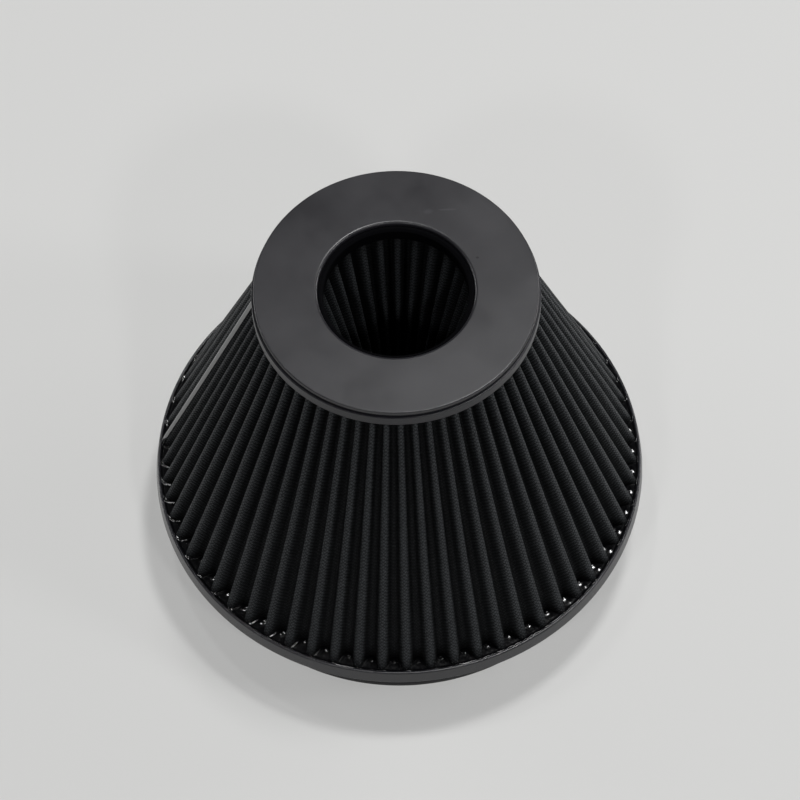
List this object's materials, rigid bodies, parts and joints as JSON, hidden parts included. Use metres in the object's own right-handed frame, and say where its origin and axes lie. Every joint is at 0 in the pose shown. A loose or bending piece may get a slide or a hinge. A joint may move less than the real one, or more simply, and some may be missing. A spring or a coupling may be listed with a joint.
{
  "type": "cone air filter",
  "caption": "Open cone air filter with a pleated outer cone, an inverted pleated inner cone, a rubber neck and a hose clamp.",
  "frame": {"origin": "centre of the neck's open lower end, which is also the middle of the part's lowest face", "axes": "+Z along the filter's axis from the neck to the top plate; -Y is the side that the picture shows nearest"},
  "size_m": [0.19, 0.19, 0.156],
  "materials": {
    "ring_metal": "satin",
    "plate_metal": "satin, dark anodised",
    "neck_rubber": "matte",
    "potting": "glossy cast urethane",
    "media_mesh": "fine dark mesh",
    "seam_plastic": "satin",
    "clamp_steel": "bright"
  },
  "bodies": {
    "filter": {"base_pan": "ring_metal", "neck_boot": "neck_rubber", "base_potting": "potting", "outer_media": "media_mesh", "outer_seam": "seam_plastic", "cap_ring": "ring_metal", "cap_potting": "potting", "top_plate": "plate_metal", "inner_media": "media_mesh", "inner_end_cap": "potting", "clamp_band": "clamp_steel", "clamp_housing": "clamp_steel"},
    "worm_screw": {"clamp_screw": "clamp_steel"}
  },
  "joints": [
    {"name": "screw_turn", "type": "hinge", "parent": "filter", "child": "worm_screw", "pos_m": [0.08315, -0.02542, 0.0146], "axis": [0.2924, 0.9563, 0], "continuous": true}
  ]
}
